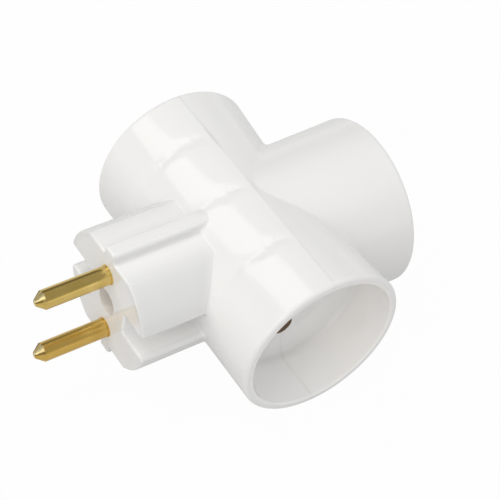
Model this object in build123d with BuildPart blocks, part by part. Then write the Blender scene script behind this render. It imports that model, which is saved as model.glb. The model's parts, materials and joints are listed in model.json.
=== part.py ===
from build123d import *
import os
from math import atan, cos, degrees, hypot, radians, sin, sqrt, tan

os.makedirs("parts", exist_ok=True)

# A three-way mains adapter that lies on its tubes. Its frame: the origin is the middle of
# the plug's front face, X runs from the plug to the rear socket, Y along the cross tube and
# Z along the line through both pins. Everything is in millimetres.

# Casing, outside
axis_x = 38.5           # plug face to the point where the socket axes cross
tube_half = 35.2        # cross tube, from its middle to either rim
tube_r = 21.6           # cross tube, outer radius
rear_lean = 5.6         # degrees by which the arms' rear halves draw in towards the middle
rear_reach = 36.3       # crossing point to the rim of the rear socket
rear_root_r = 21.1      # rear tube, outer radius where it leaves the cross tube
rear_rim_r = 22.0       # rear tube, outer radius at its rim
rim_outer_round = 1.05
rim_inner_round = 0.4
saddle_round = 1.5      # valley between the rear tube and the cross tube
seam_width = 0.06       # fine step along the seam between the two shells
seam_depth = 0.06

# Casing, inside
well_r = 19.3
well_depth = 14.0       # rim to the foot of the well's wall
well_corner_round = 2.4
dish_r = 12.6           # flat middle of a socket floor, which holds the contact holes
dish_depth = 1.9        # how far that middle lies behind the foot of the wall
floor_t = 3.0           # socket floors at the foot of the wall
hole_r = 2.9
cavity_r = 18.4         # hollow of the cross tube between its two floors
rear_cavity_r = 18.5
post_r = 4.0            # screw posts of the two shells, which meet at the seam
rib_half = 1.0          # half thickness of the rib that backs the pole strips
rib_bite = 0.8          # how far ribs and posts run into the walls they stand on

# Plug
plug_r = 17.7
plug_flat_z = 15.1      # lowered flats beside the guide rib
guide_rib_half = 2.0    # half width of the guide rib along the top and the bottom
slot_half = 3.5         # half width of the side slots that clear earth clips and pin
slot_floor_y = 8.0
plug_edge_round = 1.0
plug_front_round = 0.6
rib_edge_round = 0.7
plug_wall = 2.0
plug_face_t = 3.0
channel_z = 5.6         # floor of the pole channels, above and below the middle web
root_round = 0.6        # where the plug runs into the cross tube

# Pins and pole strips
pin_spacing = 19.0
pin_r = 2.4
pin_length = 19.0
pin_tip_length = 2.1
pin_tip_r = 0.8
pin_shoulder_r = 2.6    # thicker shank in the face plate, a little proud of it
pin_shoulder_t = 0.3
pin_flange_r = 3.5
pin_flange_t = 1.5
pin_tail_r = 1.5
pin_head_r = 2.3
pin_head_t = 0.9
sleeve_t = 0.7
strip_t = 0.8
strip_half = 3.4        # half width of the strips
strip_front_x = 12.0
strip_bend_round = 0.7
lug_reach = 3.6         # how far the bent front lug goes past the pin's axis

# Contact sleeves, their spring rings and rivets
sleeve_length = 10.5
tongue_length = 4.3
saddle_half = 2.1       # half width of the flat that lies on the strip
slit_half = 0.4
ring_t = 0.6
ring_width = 3.0
ring_gap_half = 2.3
ring_inset = 3.5        # floor to the ring
rivet_r = 0.8
rivet_head_r = 1.5
rivet_head_t = 0.6
rivet_sink_r = 1.25
rivet_sink_t = 0.45

# Casing screw
screw_recess_r = 3.5
screw_recess_depth = 9.5
screw_head_r = 3.1
screw_head_t = 2.2
screw_r = 1.5
screw_end_x = 54.0
screw_pilot_x = 55.0
screw_clear_r = 1.7
driver_slot_half = 0.45
driver_slot_reach = 1.9
driver_slot_depth = 1.2

# Derived sizes
pin_z = pin_spacing / 2
sleeve_r = pin_r + sleeve_t
strip_in_z = pin_z + sleeve_r        # inner face of a strip, on the backs of its sleeves
strip_out_z = strip_in_z + strip_t   # outer face, against the channel's roof and the rib
dish_floor = well_depth + dish_depth  # rim to the flat middle of a socket floor
floor_depth = well_depth + floor_t   # rim to the inner face of a socket floor
rear_rim_x = axis_x + rear_reach
rear_floor_x = rear_rim_x - floor_depth
tongue_mid = floor_depth + sleeve_length + tongue_length / 2
rivet_sink_taper = degrees(atan((rivet_sink_r - rivet_r) / rivet_sink_t))
near = 0.05             # how close counts as touching, when edges and corners are picked

# Each socket's mouth: origin at the rim's centre, local X up the pin line, Z into the well
mouths = {
    "left": Plane((axis_x, tube_half, 0), x_dir=(0, 0, 1), z_dir=(0, -1, 0)),
    "right": Plane((axis_x, -tube_half, 0), x_dir=(0, 0, 1), z_dir=(0, 1, 0)),
    "rear": Plane((rear_rim_x, 0, 0), x_dir=(0, 0, 1), z_dir=(-1, 0, 0)),
}
levels = {"upper": 1, "lower": -1}
seam = Plane((axis_x, 0, 0), x_dir=(0, 1, 0), z_dir=(1, 0, 0))


def is_saddle(edge):
    """A curve along which the rear tube meets an arm of the cross tube."""
    return edge.geom_type not in (GeomType.CIRCLE, GeomType.LINE) and edge.center().X > axis_x + near


def is_root(edge):
    """A curve along which the plug body runs into the cross tube."""
    middle = edge.position_at(0.5)
    on_tube = abs(hypot(middle.X - axis_x, middle.Z) - tube_r) < near
    return on_tube and middle.X < axis_x - tube_r / 2 and abs(middle.Y) < plug_r + near


def is_rim(edge):
    """A round edge in the plane of one of the three rims."""
    middle = edge.position_at(0.5)
    in_plane = max(abs(middle.Y) - tube_half, middle.X - rear_rim_x) > -near
    return in_plane and edge.geom_type == GeomType.CIRCLE


def is_mouth(edge):
    """The edge of a well in the plane of its rim."""
    return is_rim(edge) and abs(edge.radius - well_r) < near


def rear_top(y):
    """Height of the rear shell's outside along the seam, which sinks a little to the middle."""
    return sqrt(tube_r**2 - ((tube_half - abs(y)) * tan(radians(rear_lean))) ** 2)


# Plug body: a round section with flats beside a guide rib, and a slot in each side
with BuildPart() as plug:
    with BuildSketch(Plane.YZ) as section:
        Circle(plug_r)
        flat_rise = plug_r - plug_flat_z
        with GridLocations(2 * guide_rib_half + plug_r, 2 * plug_flat_z + flat_rise, 2, 2):
            Rectangle(plug_r, flat_rise, mode=Mode.SUBTRACT)
        slot_span = plug_r - slot_floor_y
        with GridLocations(2 * slot_floor_y + slot_span, 0, 2, 1):
            Rectangle(slot_span, 2 * slot_half, mode=Mode.SUBTRACT)
        outer_corners = section.vertices().filter_by(lambda v: abs(v.X) > guide_rib_half + near)
        fillet(outer_corners, plug_edge_round)
        rib_corners = section.vertices().filter_by(lambda v: abs(v.X) < guide_rib_half + near)
        fillet(rib_corners, rib_edge_round)
    extrude(amount=axis_x - tube_r / 2)
    fillet(plug.faces().sort_by(Axis.X)[0].edges(), plug_front_round)

# Room inside both shells: wells, contact holes and the hollow behind the floors
with BuildPart() as room:
    for mouth in mouths.values():
        with BuildSketch(Plane(mouth.origin, x_dir=mouth.x_dir, z_dir=-mouth.y_dir)) as profile:
            with BuildLine():
                Polyline((0, 0), (well_r, 0), (well_r, well_depth), (dish_r, dish_floor),
                         (0, dish_floor), close=True)
            make_face()
            fillet(profile.vertices().sort_by(lambda v: v.X + v.Y)[-1], well_corner_round)
        revolve(axis=Axis(mouth.origin, mouth.z_dir))
        with BuildSketch(mouth.offset(dish_floor)):
            with GridLocations(pin_spacing, 0, 2, 1):
                Circle(hole_r)
        extrude(amount=floor_t - dish_depth)
    with BuildSketch(Plane.XZ):
        with Locations((axis_x, 0)):
            Circle(cavity_r)
    extrude(amount=tube_half - floor_depth, both=True)
    with BuildSketch(seam):
        Circle(rear_cavity_r)
    extrude(amount=rear_floor_x - axis_x)

# Front shell: the plug and the front halves of both cross sockets
with BuildPart() as front_shell:
    with BuildSketch(Plane.XZ):
        with Locations((axis_x, 0)):
            Circle(tube_r)
    extrude(amount=tube_half, both=True)
    split(bisect_by=seam, keep=Keep.BOTTOM)
    add(plug.part)
    fillet(front_shell.edges().filter_by(is_root), root_round)
    fillet(front_shell.edges().filter_by(is_rim), rim_outer_round)
    add(room.part, mode=Mode.SUBTRACT)
    fillet(front_shell.edges().filter_by(is_mouth), rim_inner_round)
    # Channels above and below the middle web, from the face plate into the hollow
    with BuildSketch(Plane.YZ.offset(plug_face_t)):
        Circle(plug_r - plug_wall)
        Rectangle(2 * plug_r, 2 * strip_out_z, mode=Mode.INTERSECT)
        Rectangle(2 * plug_r, 2 * channel_z, mode=Mode.SUBTRACT)
    extrude(amount=axis_x - cavity_r / 2 - plug_face_t, mode=Mode.SUBTRACT)
    # Rib that backs the strips, across the top and the bottom of the hollow
    with BuildSketch(Plane.XZ):
        with Locations((axis_x, 0)):
            Circle(cavity_r + rib_bite)
            Rectangle(2 * tube_r, 2 * strip_out_z, mode=Mode.SUBTRACT)
            Rectangle(tube_r, 2 * tube_r, align=(Align.MIN, Align.CENTER), mode=Mode.SUBTRACT)
    extrude(amount=rib_half, both=True)
    # Screw post with its recess in the plug's face
    with BuildSketch(seam):
        Circle(post_r)
    extrude(amount=-(cavity_r + rib_bite))
    with BuildSketch(Plane.YZ):
        Circle(screw_recess_r)
    extrude(amount=screw_recess_depth, mode=Mode.SUBTRACT)
    with BuildSketch(Plane.YZ):
        Circle(screw_clear_r)
    extrude(amount=axis_x, mode=Mode.SUBTRACT)
    # Holes for the two pins
    with BuildSketch(Plane.YZ):
        with GridLocations(0, pin_spacing, 1, 2):
            Circle(pin_shoulder_r)
    extrude(amount=plug_face_t, mode=Mode.SUBTRACT)
front_shell.part.label = "front_shell"
export_step(front_shell.part, "parts/front_shell.step")

# Rear shell: the rear socket and the rear halves of both cross sockets
with BuildPart() as rear_shell:
    lean = radians(rear_lean)
    for arm, inward in (("left", -1), ("right", 1)):
        with BuildSketch(mouths[arm]):
            Circle(tube_r)
        extrude(amount=tube_half / cos(lean), dir=(-sin(lean), inward * cos(lean), 0))
    split(bisect_by=seam, keep=Keep.TOP)
    with BuildSketch(Plane.XY):
        with BuildLine():
            Polyline((axis_x, 0), (rear_rim_x, 0), (rear_rim_x, rear_rim_r),
                     (axis_x, rear_root_r), close=True)
        make_face()
    revolve(axis=Axis.X)
    fillet(rear_shell.edges().filter_by(is_saddle), saddle_round)
    fillet(rear_shell.edges().filter_by(is_rim), rim_outer_round)
    add(room.part, mode=Mode.SUBTRACT)
    fillet(rear_shell.edges().filter_by(is_mouth), rim_inner_round)
    # Screw post with a blind pilot hole
    with BuildSketch(seam):
        Circle(post_r)
        Circle(screw_r, mode=Mode.SUBTRACT)
    extrude(amount=rear_floor_x - axis_x)
    with BuildSketch(seam.offset(screw_pilot_x - axis_x)):
        Circle(post_r)
    extrude(amount=rear_floor_x - screw_pilot_x)
    # Fine step that shows as the seam line, outside and down both wells
    with BuildSketch(seam) as step:
        Rectangle(3 * tube_half, 3 * tube_r)
        with BuildLine():
            ends = tube_half - seam_depth
            top = [(y, rear_top(y) - seam_depth) for y in (ends, ends / 2, 0, -ends / 2, -ends)]
            Polyline(*top, *[(-y, -z) for y, z in top], close=True)
        make_face(mode=Mode.SUBTRACT)
        wall = well_r + seam_depth
        foot, middle = [tube_half - depth - seam_depth for depth in (well_depth, dish_floor)]
        for way in (1, -1):
            half = [(way * tube_half, wall), (way * foot, wall), (way * middle, dish_r)]
            with BuildLine():
                Polyline(*half, *[(y, -z) for y, z in reversed(half)], close=True)
            make_face()
        corners = step.vertices().filter_by(lambda v: hypot(abs(v.X) - foot, abs(v.Y) - wall) < near)
        fillet(corners, well_corner_round)
    extrude(amount=seam_width, mode=Mode.SUBTRACT)
rear_shell.part.label = "rear_shell"
export_step(rear_shell.part, "parts/rear_shell.step")

# Casing screw, driven from the recess between the pins into the rear shell's post
with BuildPart() as casing_screw:
    with BuildSketch(Plane.YZ.offset(screw_recess_depth - screw_head_t)):
        Circle(screw_head_r)
    extrude(amount=screw_head_t)
    fillet(casing_screw.edges().sort_by(Axis.X)[0], screw_head_t / 2)
    with BuildSketch(Plane.YZ.offset(screw_recess_depth)):
        Circle(screw_r)
    extrude(amount=screw_end_x - screw_recess_depth)
    chamfer(casing_screw.edges().sort_by(Axis.X)[-1], screw_r / 2)
    with BuildSketch(Plane.YZ.offset(screw_recess_depth - screw_head_t)):
        Rectangle(2 * driver_slot_reach, 2 * driver_slot_half)
        Rectangle(2 * driver_slot_half, 2 * driver_slot_reach)
    extrude(amount=driver_slot_depth, mode=Mode.SUBTRACT)
casing_screw.part.label = "casing_screw"
export_step(casing_screw.part, "parts/casing_screw.step")


def export_pin(name, side):
    """Solid turned pin: pointed, with a shoulder and a flange in the face plate, riveted to its lug."""
    lug_back = strip_front_x + strip_t
    with BuildPart() as pin:
        with BuildSketch(Plane.XZ):
            with BuildLine():
                Polyline(
                    (-pin_length, 0),
                    (-pin_length, pin_tip_r),
                    (pin_tip_length - pin_length, pin_r),
                    (-pin_shoulder_t, pin_r),
                    (-pin_shoulder_t, pin_shoulder_r),
                    (plug_face_t, pin_shoulder_r),
                    (plug_face_t, pin_flange_r),
                    (plug_face_t + pin_flange_t, pin_flange_r),
                    (plug_face_t + pin_flange_t, pin_r),
                    (strip_front_x, pin_r),
                    (strip_front_x, pin_tail_r),
                    (lug_back, pin_tail_r),
                    (lug_back, pin_head_r),
                    (lug_back + pin_head_t / 2, pin_head_r),
                    (lug_back + pin_head_t, pin_head_r / 2),
                    (lug_back + pin_head_t, 0),
                    close=True,
                )
            make_face()
        revolve(axis=Axis.X)
        fillet(pin.edges().sort_by(Axis.X)[0], pin_tip_r / 2)
    part = pin.part.moved(Location((0, 0, side * pin_z)))
    part.label = name
    export_step(part, f"parts/{name}.step")


def is_inner_corner(corner):
    """A corner where the stem of a pole strip meets its cross bar."""
    off_axes = (abs(corner.X - axis_x), abs(corner.Y))
    return max(abs(off - strip_half) for off in off_axes) < near


def export_strip(name, side):
    """Bent brass strip of one pole: a stem, a cross bar and a front lug for the pin."""
    with BuildPart() as strip:
        with BuildSketch(Plane.XY.offset(strip_in_z)) as plan:
            with Locations((strip_front_x, 0)):
                Rectangle(rear_floor_x - strip_front_x, 2 * strip_half,
                          align=(Align.MIN, Align.CENTER))
            with Locations((axis_x, 0)):
                Rectangle(2 * strip_half, 2 * (tube_half - floor_depth))
            fillet(plan.vertices().filter_by(is_inner_corner), strip_half / 2)
        extrude(amount=strip_t)
        with BuildSketch(Plane.YZ.offset(strip_front_x)):
            with Locations((0, pin_z - lug_reach)):
                Rectangle(2 * strip_half, strip_out_z - pin_z + lug_reach,
                          align=(Align.CENTER, Align.MIN))
            with Locations((0, pin_z)):
                Circle(pin_tail_r, mode=Mode.SUBTRACT)
        extrude(amount=strip_t)
        bend = strip.edges().filter_by(Axis.Y).sort_by(lambda e: e.center().X - e.center().Z)[0]
        fillet(bend, strip_bend_round)
        with Locations(*[Location((x, y, strip_out_z)) for x, y in rivet_spots]):
            Hole(rivet_r)
        if side < 0:
            mirror(about=Plane.XY, mode=Mode.REPLACE)
    strip.part.label = name
    export_step(strip.part, f"parts/{name}.step")


def export_sleeve(name, mouth, side):
    """Split contact sleeve with a flat back, which runs on as a tongue to its rivet."""
    start = mouth.offset(floor_depth)
    with BuildPart() as sleeve:
        with BuildSketch(start):
            with Locations((side * pin_z, 0)):
                Circle(sleeve_r)
            with Locations((side * (pin_z + pin_r + sleeve_t / 2), 0)):
                Rectangle(sleeve_t, 2 * saddle_half)
            with Locations((side * pin_z, 0)):
                Circle(pin_r, mode=Mode.SUBTRACT)
            with Locations((side * (pin_z - sleeve_r / 2), 0)):
                Rectangle(sleeve_r, 2 * slit_half, mode=Mode.SUBTRACT)
        extrude(amount=sleeve_length)
        with BuildSketch(start.offset(sleeve_length)):
            with Locations((side * (pin_z + pin_r + sleeve_t / 2), 0)):
                Rectangle(sleeve_t, 2 * saddle_half)
        extrude(amount=tongue_length)
        spot = mouth.from_local_coords((0, 0, tongue_mid))
        with BuildSketch(Plane((spot.X, spot.Y, side * (pin_z + pin_r)), z_dir=(0, 0, side))):
            Circle(rivet_sink_r)
        extrude(amount=rivet_sink_t, taper=rivet_sink_taper, mode=Mode.SUBTRACT)
        with BuildSketch(Plane((spot.X, spot.Y, side * (pin_z + pin_r)), z_dir=(0, 0, side))):
            Circle(rivet_r)
        extrude(amount=sleeve_t, mode=Mode.SUBTRACT)
    sleeve.part.label = name
    export_step(sleeve.part, f"parts/{name}.step")


def export_ring(name, mouth, side):
    """Steel spring clip around a sleeve, open over the sleeve's flat back."""
    with BuildPart() as ring:
        with BuildSketch(mouth.offset(floor_depth + ring_inset)):
            with Locations((side * pin_z, 0)):
                Circle(sleeve_r + ring_t)
                Circle(sleeve_r, mode=Mode.SUBTRACT)
            with Locations((side * (pin_z + sleeve_r), 0)):
                Rectangle(2 * sleeve_r, 2 * ring_gap_half, mode=Mode.SUBTRACT)
        extrude(amount=ring_width)
    ring.part.label = name
    export_step(ring.part, f"parts/{name}.step")


# The two poles: pin, strip, three sleeves and three spring rings each
rivet_spots = []
for mouth in mouths.values():
    spot = mouth.from_local_coords((0, 0, tongue_mid))
    rivet_spots.append((spot.X, spot.Y))
for level, side in levels.items():
    export_pin(f"{level}_pin", side)
    export_strip(f"{level}_strip", side)
    for arm, mouth in mouths.items():
        export_sleeve(f"{level}_{arm}_sleeve", mouth, side)
        export_ring(f"{level}_{arm}_spring_ring", mouth, side)

# Rivets of the sleeves: domed on the strip, sunk flush into the tongue
with BuildPart() as contact_rivets:
    with BuildSketch(Plane.XZ):
        with BuildLine():
            Polyline(
                (0, pin_z + pin_r),
                (rivet_sink_r, pin_z + pin_r),
                (rivet_r, pin_z + pin_r + rivet_sink_t),
                (rivet_r, strip_out_z),
                (rivet_head_r, strip_out_z),
                (rivet_head_r, strip_out_z + rivet_head_t / 2),
                (rivet_head_r / 2, strip_out_z + rivet_head_t),
                (0, strip_out_z + rivet_head_t),
                close=True,
            )
        make_face()
    revolve(axis=Axis.Z)
rivets = []
for x, y in rivet_spots:
    for turn in (0, 180):
        rivets.append(contact_rivets.part.moved(Location((x, y, 0), (turn, 0, 0))))
rivet_group = Compound(children=rivets, label="contact_rivets")
export_step(rivet_group, "parts/contact_rivets.step")
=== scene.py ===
# %% [markdown]
# # A white three-way mains adapter
#
# This lesson dresses a finished CAD model. The solids come in as a fixed frame with their real
# sizes in metres, and every step below only adds looks: finishes for the moulded casing, the
# turned pins and the stamped contacts, then a floor, soft lights and a camera.

# %% Load the frame
import json
import math

import bpy
from mathutils import Matrix, Vector


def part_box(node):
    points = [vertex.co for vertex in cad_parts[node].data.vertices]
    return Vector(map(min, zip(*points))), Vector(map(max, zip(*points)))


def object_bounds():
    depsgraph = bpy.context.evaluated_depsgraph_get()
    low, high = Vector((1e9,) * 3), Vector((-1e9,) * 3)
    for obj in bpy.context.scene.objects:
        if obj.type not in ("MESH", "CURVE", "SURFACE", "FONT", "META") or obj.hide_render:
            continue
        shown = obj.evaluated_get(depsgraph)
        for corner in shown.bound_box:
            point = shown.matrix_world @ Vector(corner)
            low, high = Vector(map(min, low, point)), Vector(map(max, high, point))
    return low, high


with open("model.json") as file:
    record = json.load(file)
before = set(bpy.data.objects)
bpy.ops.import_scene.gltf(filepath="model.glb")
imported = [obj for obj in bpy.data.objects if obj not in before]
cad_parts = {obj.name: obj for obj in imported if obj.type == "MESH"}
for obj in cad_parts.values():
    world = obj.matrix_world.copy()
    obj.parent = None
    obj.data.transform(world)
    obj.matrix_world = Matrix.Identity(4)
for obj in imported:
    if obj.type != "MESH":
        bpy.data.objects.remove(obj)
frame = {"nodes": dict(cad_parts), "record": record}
nodes = frame["nodes"]
cad_box = [list(corner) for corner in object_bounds()]
print("nodes", len(nodes), "box", cad_box)

# %% [markdown]
# ## Places on the object
#
# The frame's origin is the middle of the plug's face. The socket axes cross further back, and the
# packed record says where: each socket is a bore with a point on its axis. Reading these places
# from the frame keeps the finishes on the right spots if the solids ever change.

# %% Places and sizes read from the frame
mm = 0.001
mounts = {mount["name"]: mount for mount in frame["record"]["mounts"]}
socket = mounts["left_socket"]
axis_x = socket["pos_m"][0]
well_r = socket["dims"]["r_mm"] * mm
foot_y = socket["pos_m"][1] - socket["dims"]["length_mm"] / 2 * mm
pin_z = mounts["plug_pins"]["dims"]["spacing_y_mm"] / 2 * mm
tube_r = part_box("front_shell")[1].z
floor_z = cad_box[0][2]
print("axis at x", axis_x, "tube radius", tube_r, "wells from", foot_y, "floor at z", floor_z)

# %% [markdown]
# ## Shader maths as plain expressions
#
# A finish is a small graph of nodes. Written node by node it is hard to read, so one class wraps a
# socket and lets Python's operators add the Math nodes, and another adds any other node in one
# call. Two shapes come back again and again: a ramp from 0 to 1, and a bell around a value.

# %% A wire that takes part in arithmetic
class Wire:
    """An output socket of a finish. Arithmetic on it adds Math nodes."""

    def __init__(self, finish, socket):
        self.finish = finish
        self.socket = socket

    def math(self, operation, *others):
        values = dict(enumerate((self,) + others))
        return self.finish.node("ShaderNodeMath", {"operation": operation}, values)

    def __add__(self, other):
        return self.math("ADD", other)

    __radd__ = __add__

    def __sub__(self, other):
        return self.math("SUBTRACT", other)

    def __rsub__(self, other):
        return (self * -1) + other

    def __mul__(self, other):
        return self.math("MULTIPLY", other)

    __rmul__ = __mul__

    def __truediv__(self, other):
        return self.math("DIVIDE", other)

    def __pow__(self, other):
        return self.math("POWER", other)

    def __abs__(self):
        return self.math("ABSOLUTE")

    def __gt__(self, other):
        return self.math("GREATER_THAN", other)

    def __lt__(self, other):
        return self.math("LESS_THAN", other)

    def at_least(self, other):
        return self.math("MAXIMUM", other)

    def clamped(self):
        return self.at_least(0.0).math("MINIMUM", 1.0)

    def ramp(self, start, end):
        """0 at the start value, rising evenly to 1 at the end value."""
        return ((self - start) / (end - start)).clamped()

    def bell(self, middle, half_width):
        """1 at the middle value, falling softly to 0 a little past the half width."""
        away = (self - middle) / half_width
        return (away * away * -1).math("EXPONENT")


print("a wire also has", [name for name in vars(Wire) if not name.startswith("_")])

# %% A finish that is written one call per node
class Finish:
    """A material, or any other node tree."""

    def __init__(self, name, owner=None):
        self.owner = owner or bpy.data.materials.new(name)
        self.owner.use_nodes = True
        self.tree = self.owner.node_tree
        self.tree.nodes.clear()

    def node(self, kind, settings=None, inputs=None, output=0):
        """Adds a node: its settings first, then the values or wires of its sockets."""
        made = self.tree.nodes.new(kind)
        for key, value in (settings or {}).items():
            setattr(made, key, value)
        for key, value in (inputs or {}).items():
            if isinstance(value, Wire):
                self.tree.links.new(value.socket, made.inputs[key])
            else:
                made.inputs[key].default_value = value
        return Wire(self, made.outputs[output]) if made.outputs else made

    def place(self):
        """The point on the object, in metres, as three wires."""
        spot = self.node("ShaderNodeTexCoord", output="Object")
        return [self.node("ShaderNodeSeparateXYZ", inputs={0: spot}, output=i) for i in range(3)]

    def noise(self, scale, detail=2.0, stretch=(1, 1, 1)):
        """Noise with so many waves to the metre, stretched along the axes with small numbers."""
        spot = self.node("ShaderNodeTexCoord", output="Object")
        size = [scale * part for part in stretch]
        spot = self.node("ShaderNodeVectorMath", {"operation": "MULTIPLY"}, {0: spot, 1: size})
        inputs = {"Vector": spot, "Scale": 1.0, "Detail": detail}
        return self.node("ShaderNodeTexNoise", inputs=inputs)

    def blend(self, factor, low, high):
        """A colour between two others."""
        colours = {"Factor": factor, 6: low, 7: high}
        return self.node("ShaderNodeMix", {"data_type": "RGBA"}, colours, output=2)

    def bump(self, height):
        """Normals of a skin with this height, in metres."""
        return self.node("ShaderNodeBump", inputs={"Height": height, "Distance": 1.0})

    def surface(self, **inputs):
        """The shader itself. Socket names are written with underscores."""
        named = {key.replace("_", " "): value for key, value in inputs.items()}
        shader = self.node("ShaderNodeBsdfPrincipled", inputs=named)
        self.node("ShaderNodeOutputMaterial", inputs={"Surface": shader})
        return self.owner


def colour(red, green, blue):
    return (red, green, blue, 1.0)


def grey(level):
    return colour(level, level, level)


print("paper white is", grey(1.0))

# %% [markdown]
# ## Moulded white plastic: where things are
#
# The casing is injection-moulded glossy thermoplastic in two shells, and it isn't one even white.
# To say where it differs, the finish first works out which part of the casing a point lies on.
# Distances from the cross tube's axis and from the plug's axis are enough: they tell the wells,
# the tube's skin, the plug's slots and the screw recess apart.

# %% Parts of the casing, as wires that are 1 there and 0 elsewhere
plug_r, slot_half, recess_r = 17.7 * mm, 3.7 * mm, 3.6 * mm
casing = Finish("moulded_white")
x, y, z = casing.place()
out_x = x - axis_x
radius = (out_x * out_x + z * z) ** 0.5
plug_radius = (y * y + z * z) ** 0.5
well_edge, well_inside = well_r + 0.9 * mm, well_r + 0.3 * mm
in_side_well = radius.ramp(well_edge, well_inside)
in_rear_well = plug_radius.ramp(well_edge, well_inside) * (out_x > well_r)
in_recess = (plug_radius < recess_r) * (x < axis_x / 2)
on_tube = (abs(radius - tube_r) < 0.9 * mm) * out_x.ramp(0.0, -4 * mm) * z.ramp(0.0, tube_r)
on_plug = radius.ramp(tube_r, tube_r + 2 * mm) * (x < axis_x)
in_slot = on_plug * (abs(z) < slot_half) * (abs(y) > plug_r / 3)
on_floor = abs(y).ramp(foot_y - 1.2 * mm, foot_y - 2.0 * mm)
print("nodes that tell the parts of the casing apart:", len(casing.tree.nodes))

# %% [markdown]
# ## Handled white, painted light and painted shade
#
# White plastic greys unevenly where hands reach it. The walls of the wells, the slots and the
# recess are painted a lighter, warmer white as painted light, warmest towards the rear shell. The
# plug's sides are painted greyer as painted shade, less so underneath, and so is the corner beside
# the guide rib, where its shadow falls. Blending one white over the other in that order keeps each
# choice in one line.

# %% The whites
rib_half, plug_flat_z = 2.0 * mm, 15.1 * mm
cloud = casing.noise(38, 3.0)
handled = casing.blend(cloud, colour(0.9, 0.9, 0.895), colour(0.912, 0.904, 0.886))
# Painted light: the wells, the slots and the recess get a lighter white, warmer towards the rear
# shell, for the light that reaches into them.
painted_light_white = casing.blend(
    out_x.ramp(0.0, 12 * mm), colour(0.975, 0.972, 0.96), colour(0.985, 0.967, 0.94)
)
painted_light_reach = (in_side_well * (1.0 - 0.8 * on_floor)).at_least(in_rear_well)
handled_with_painted_light = casing.blend(painted_light_reach.at_least(0.6 * in_slot), handled, painted_light_white)
# Painted light: the screw recess is painted a warm, light white, for its lit lower wall.
whites_with_painted_light = casing.blend(in_recess, handled_with_painted_light, colour(0.96, 0.92, 0.87))
# Painted shade: the plug's sides are painted grey, less so underneath, and so is the foot of the
# guide rib, where its shadow falls.
outermost = plug_radius.ramp(plug_r - 2.1 * mm, plug_r - 0.5 * mm)
plug_side_shade = outermost * abs(y).ramp(5 * mm, 11 * mm) * z.ramp(-9 * mm, -3 * mm)
rib_foot_shadow = abs(y).bell(rib_half, 0.6 * mm) * abs(z).bell(plug_flat_z + 0.6 * mm, 1.1 * mm)
painted_plug_shade = on_plug * plug_side_shade.at_least(rib_foot_shadow) * (0.6 + 0.4 * cloud)
whites_with_painted_shading = casing.blend(painted_plug_shade, whites_with_painted_light, colour(0.8, 0.8, 0.79))
print("nodes with the whites:", len(casing.tree.nodes))

# %% [markdown]
# ## Dust and painted shade
#
# Dust settles where nothing wipes it away: in the seam between the shells, more in some places
# than in others. The lower corner of each side well, where the wall meets the floor, is painted
# darker as painted shade, patchy with dust. The contact holes are painted dark brown as painted
# shade.

# %% Dust and painted shade over the whites
hole_r = 3.0 * mm
grime = casing.noise(110, 3.0, stretch=(0.3, 1.0, 1.0))
settled = 0.12 + 0.5 * y.bell(18 * mm, 4 * mm) + 0.2 * y.bell(0.0, 3 * mm)
seam_dust = out_x.bell(0.0, 0.4 * mm) * settled * grime
# Painted shade: the lower corner of each side well is darkened, patchy with dust.
low_part = z.ramp(0.0, -8 * mm) * out_x.ramp(14 * mm, 4 * mm)
corner = abs(y).bell(foot_y - 1.6 * mm, 0.9 * mm) * in_side_well * low_part
corner_dust_and_shade = corner * (0.05 + 0.6 * grime ** 2)
whites_with_dust_and_shade = casing.blend((seam_dust + corner_dust_and_shade).clamped(), whites_with_painted_shading, colour(0.42, 0.4, 0.37))
# Painted shade: the plastic round the contact holes is painted dark brown, for the shade deep
# inside them.
from_hole = abs(z) - pin_z
in_side_hole = (out_x * out_x + from_hole * from_hole) ** 0.5 < hole_r
in_rear_hole = ((y * y + from_hole * from_hole) ** 0.5 < hole_r) * (x > axis_x)
casing_colour = casing.blend(in_side_hole.at_least(in_rear_hole), whites_with_dust_and_shade, colour(0.34, 0.25, 0.18))
print("nodes with the dust:", len(casing.tree.nodes))

# %% [markdown]
# ## The skin's relief
#
# The mould leaves a very fine orange peel, and the skin is a little wavy. Where a thick wall inside
# meets the skin, the plastic shrinks as it cools and leaves a sink band. On the cross tube those
# bands lie over the socket floors and over the rib in the middle. They are a fraction of a
# millimetre deep, far too little to see as a shape, but they break the long highlight, so they are
# bump and not geometry.

# %% Waves, peel and sink bands
band_middles, band_half, band_depth = (-17.5, 1.5, 19.5), 1.6 * mm, 0.28 * mm
wander = y + (casing.noise(90, 2.0) - 0.5) * (5.0 * mm)
bands = sum(wander.bell(middle * mm, band_half) for middle in band_middles)
ripple = (casing.noise(75, 2.0) - 0.5) * (0.13 * mm)
crumple = (casing.noise(430, 4.0, stretch=(1.0, 0.7, 1.0)) - 0.5) * (0.36 * mm)
peel = (casing.noise(900, 2.0) - 0.5) * (0.003 * mm)
skin = casing.bump(peel + ripple + on_tube * bands * (crumple - band_depth))
smears = casing.noise(160, 4.0, stretch=(1.0, 0.35, 0.7))
white = casing.surface(
    Base_Color=casing_colour, Roughness=0.08 + 0.05 * smears, Normal=skin, IOR=1.5
)
print("finish", white.name, "with", len(casing.tree.nodes), "nodes")

# %% [markdown]
# ## Turned brass pins
#
# Each pin is turned from bar. The tool leaves fine rings around it, pushing it into sockets draws
# streaks along it, and handling leaves it darker in patches. Near its root the patches fade, as a
# painted reflection of the white plug face. The cone at the tip is painted with a pale highlight on
# one side and dark reflections beside that. The angle around the pin's axis says which side a
# point is on.

# %% The pins' finish
cone_start, cone_sure = -16.7 * mm, -17.0 * mm
# Sides of the tip cone that get the painted highlight and the painted dark reflections, as angles
# around the axis.
tip_highlight_side, tip_dark_reflection_sides = (1.75, 0.5), ((0.8, 0.3), (2.35, 0.2))


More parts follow.
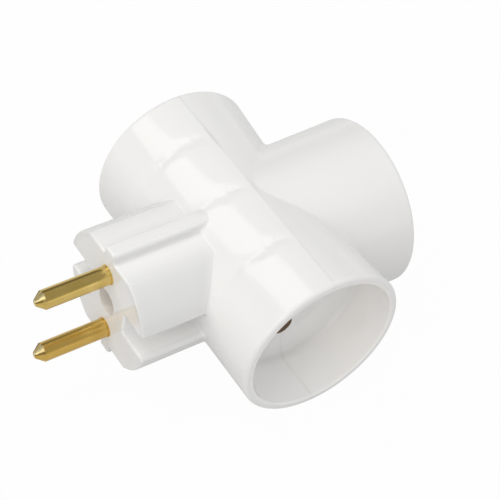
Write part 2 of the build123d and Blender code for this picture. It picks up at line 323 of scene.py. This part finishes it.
def turned_brass(name, bright, dull, polish, middle_z):
    finish = Finish(name)
    x, y, z = finish.place()
    around = (z - middle_z).math("ARCTAN2", y)
    tip = x.ramp(cone_start, cone_sure)
    # Painted reflection: the tarnish fades near the root, where the pin mirrors the white plug
    # face.
    root_reflection = x.ramp(-3 * mm, -1 * mm)
    patches = finish.noise(210, 4.0)
    streaks = finish.noise(1300, 3.0, stretch=(0.05, 1.0, 1.0))
    rings = finish.noise(9000, 1.0, stretch=(1.0, 0.02, 0.02))
    tarnish = ((patches + streaks) * 1.3 - 0.8).clamped() * (1.0 - 0.6 * root_reflection)
    handled = finish.blend(tarnish, bright, dull)
    # Painted highlight on one side of the tip cone, with painted dark reflections beside it.
    with_tip_highlight = finish.blend(tip * around.bell(*tip_highlight_side), handled, colour(0.98, 0.84, 0.46))
    tip_dark_reflections = tip * sum(around.bell(*side) for side in tip_dark_reflection_sides) * (0.5 + streaks)
    brass = finish.blend(tip_dark_reflections.clamped(), with_tip_highlight, colour(0.12, 0.075, 0.02))
    roughness = polish + 0.12 * tarnish + 0.06 * rings
    relief = finish.bump(rings * (0.0012 * mm) + streaks * (0.03 * mm))
    return finish.surface(Base_Color=brass, Metallic=1.0, Roughness=roughness, Normal=relief)


upper_brass = turned_brass(
    "turned_brass", colour(0.82, 0.61, 0.22), colour(0.6, 0.42, 0.1), 0.1, pin_z
)
lower_brass = turned_brass(
    "turned_brass_redder", colour(0.76, 0.52, 0.15), colour(0.62, 0.39, 0.08), 0.22, -pin_z
)
print("finishes", upper_brass.name, lower_brass.name)

# %% [markdown]
# ## Stamped brass, spring steel and zinc
#
# The strips and sleeves inside are stamped from rolled sheet, so their streaks run one way, and the
# brass has gone brown. The spring rings are blued a little by hardening, and the screw is zinc
# plated. One function serves all three, because rolled and plated metals differ only in colour,
# gloss and the direction of their streaks.

# %% Finishes of the pieces inside
def rolled_metal(name, bright, dull, gloss, stretch):
    finish = Finish(name)
    stains = finish.noise(240, 3.0)
    streaks = finish.noise(4000, 2.0, stretch=stretch)
    metal = finish.blend(stains, bright, dull)
    relief = finish.bump(streaks * (0.0015 * mm))
    roughness = gloss + 0.18 * streaks
    return finish.surface(Base_Color=metal, Metallic=1.0, Roughness=roughness, Normal=relief)


sheet_brass = rolled_metal(
    "stamped_brass", colour(0.52, 0.37, 0.15), colour(0.3, 0.19, 0.07), 0.22, (0.03, 1.0, 1.0)
)
spring_steel = rolled_metal(
    "spring_steel", colour(0.5, 0.51, 0.55), colour(0.3, 0.31, 0.38), 0.25, (1.0, 0.05, 1.0)
)
zinc = rolled_metal(
    "zinc_plate", colour(0.66, 0.67, 0.66), colour(0.5, 0.5, 0.46), 0.24, (0.3, 1.0, 1.0)
)
print("finishes", sheet_brass.name, spring_steel.name, zinc.name)

# %% [markdown]
# ## Hand out the finishes
#
# The record says which slot each node takes its finish from, so the finishes are handed out by
# slot. Only the lower pin differs from its slot: it is a shade redder than the upper one.

# %% Finishes by slot
slot_finish = {
    "casing": white,
    "pins": upper_brass,
    "contacts": sheet_brass,
    "springs": spring_steel,
    "screw": zinc,
}
for entry in frame["record"]["subparts"]:
    mesh = nodes[entry["node"]].data
    mesh.materials.clear()
    mesh.materials.append(slot_finish[entry["material_slot"]])
nodes["lower_pin"].data.materials[0] = lower_brass

# %% [markdown]
# ## Floor and background
#
# The adapter lies on a white sheet. A plain white sheet under soft light still renders grey, so
# rays from the camera see it almost wholly as an even white, with a little of the lit sheet mixed
# in to keep the soft shadow under the object. Glossy surfaces mirror a sheet that is part white
# and part lit: if they mirrored pure white, the plastic's steep sides would shine too much.

# %% A floor that is white to the camera
seen_share, mirrored_share = 0.975, 0.4


def ray_kinds(finish):
    """Two wires: 1 for rays from the camera, and 1 for reflected or refracted rays."""
    kinds = ("Is Camera Ray", "Is Glossy Ray", "Is Transmission Ray")
    seen, reflected, refracted = [
        finish.node("ShaderNodeLightPath", output=kind) for kind in kinds
    ]
    return seen, reflected.at_least(refracted)


def floor_sheet():
    finish = Finish("white_sheet")
    paper = finish.blend(finish.noise(700, 3.0), grey(0.64), grey(0.66))
    lit = finish.node("ShaderNodeBsdfDiffuse", inputs={"Color": paper})
    even = finish.node("ShaderNodeEmission", inputs={"Color": grey(1.0), "Strength": 1.0})
    seen, mirrored = ray_kinds(finish)
    share = (seen * seen_share).at_least(mirrored * mirrored_share)
    mixed = finish.node("ShaderNodeMixShader", inputs={0: share, 1: lit, 2: even})
    finish.node("ShaderNodeOutputMaterial", inputs={"Surface": mixed})
    return finish.owner


floor_reach = 1.5
bpy.ops.mesh.primitive_plane_add(size=2 * floor_reach, location=(axis_x, 0, floor_z))
floor = bpy.context.object
floor.name = "floor_sheet"
floor.data.materials.append(floor_sheet())
print("floor at", floor_z)

# %% [markdown]
# ## The room
#
# A white object on white needs light from all round, so the room is a white one. Its back wall is
# dim, which turns the far sides of the tubes a little grey and lets their edges show against the
# background. Mirrored rays see a dim ceiling too: the polished pins need something dark to reflect,
# or they look like painted yellow rods. The camera itself sees plain white.

# %% Walls, ceiling and background
wall_level, ceiling_drop, back_drop, mirrored_drop = 0.73, 0.58, 0.85, 0.6
world = bpy.data.worlds.new("studio")
bpy.context.scene.world = world
studio = Finish("studio", world)
towards = studio.node("ShaderNodeTexCoord", output="Generated")
side_y, height = [
    studio.node("ShaderNodeSeparateXYZ", inputs={0: towards}, output=i) for i in (1, 2)
]
ceiling = height.ramp(0.15, 0.45)
back_wall = side_y.ramp(0.35, 0.65) * height.ramp(0.8, 0.6)
above_floor = height.ramp(0.0, 0.35)
fill_light = wall_level * (1.0 - back_drop * back_wall)
mirrored = (1.0 - ceiling_drop * ceiling) * (1.0 - mirrored_drop * back_wall * above_floor)
seen, reflected = ray_kinds(studio)
level = (fill_light * (1.0 - reflected) + mirrored * reflected).at_least(seen)
backdrop = studio.node("ShaderNodeBackground", inputs={"Color": grey(1.0), "Strength": level})
studio.node("ShaderNodeOutputWorld", inputs={"Surface": backdrop})
print("wall level", wall_level, "ceiling", 1.0 - ceiling_drop, "back wall", 1.0 - back_drop)

# %% [markdown]
# ## The softboxes
#
# Two level strips hang up behind the object and draw the long highlight down the cross tube: the
# wide one lights its whole width, and the narrow one makes its right edge crisp. Both are turned to
# lie along the highlight. A softbox in front of the plug reaches into its slots, and one overhead,
# on the side of the near socket, lightens the tops.

# %% Softboxes
middle = Vector((axis_x, 0, 0))
sunlike = (1.0, 0.99, 0.965)
strip_turn = math.radians(44)


def softbox(name, place, size, radiance, turn=None):
    """An area lamp at a place, aimed at the object or hung level. White paper has radiance 1."""
    data = bpy.data.lights.new(name, "AREA")
    data.shape = "RECTANGLE"
    data.size, data.size_y = size
    data.energy = radiance * math.pi * size[0] * size[1]
    data.color = sunlike
    lamp = bpy.data.objects.new(name, data)
    bpy.context.scene.collection.objects.link(lamp)
    lamp.location = place
    if turn is None:
        lamp.rotation_euler = (lamp.location - middle).to_track_quat("Z", "Y").to_euler()
    else:
        lamp.rotation_euler = (0, 0, turn)
    print(name, "at", [round(v, 2) for v in lamp.location], round(data.energy, 2), "W")


softbox("wide_strip", (-0.255, 0.38, 0.52), (0.245, 0.75), 1.52, strip_turn)
softbox("edge_strip", (-0.1, 0.307, 0.52), (0.11, 0.43), 2.4, strip_turn)
softbox("plug_softbox", (-0.56, -0.2, 0.38), (0.5, 0.5), 1.0)
softbox("high_softbox", (-0.16, -0.26, 0.6), (0.4, 0.4), 0.6)

# %% [markdown]
# ## Camera
#
# The photograph looks down on the plug from its left, with a longish lens and a slight roll. The
# camera is written as an orbit: a point to look at, a direction, a distance and a lens.

# %% Camera
azimuth, elevation, roll = map(math.radians, (-38.53, 47.22, 8.54))
aim = Vector((axis_x + 1.04 * mm, -1.36 * mm, -0.38 * mm))
distance = 404.4 * mm
back = Vector((
    math.sin(azimuth) * math.cos(elevation),
    -math.cos(azimuth) * math.cos(elevation),
    math.sin(elevation),
))
level_right = Vector((math.cos(azimuth), math.sin(azimuth), 0))
level_up = back.cross(level_right)
right = level_right * math.cos(roll) + level_up * math.sin(roll)
up = level_up * math.cos(roll) - level_right * math.sin(roll)
camera_data = bpy.data.cameras.new("camera")
camera_data.sensor_width = 36.0
camera_data.lens = 118.15
camera_data.clip_start = 0.01
camera = bpy.data.objects.new("camera", camera_data)
bpy.context.scene.collection.objects.link(camera)
turn = Matrix((right, up, back)).transposed()
camera.matrix_world = Matrix.Translation(aim + back * distance) @ turn.to_4x4()
bpy.context.scene.camera = camera
bpy.context.scene.view_settings.view_transform = "Standard"
print("camera at", [round(v, 3) for v in camera.location])

# %% [markdown]
# ## Finish
#
# Finishes, lights and a camera must not change the object's size.
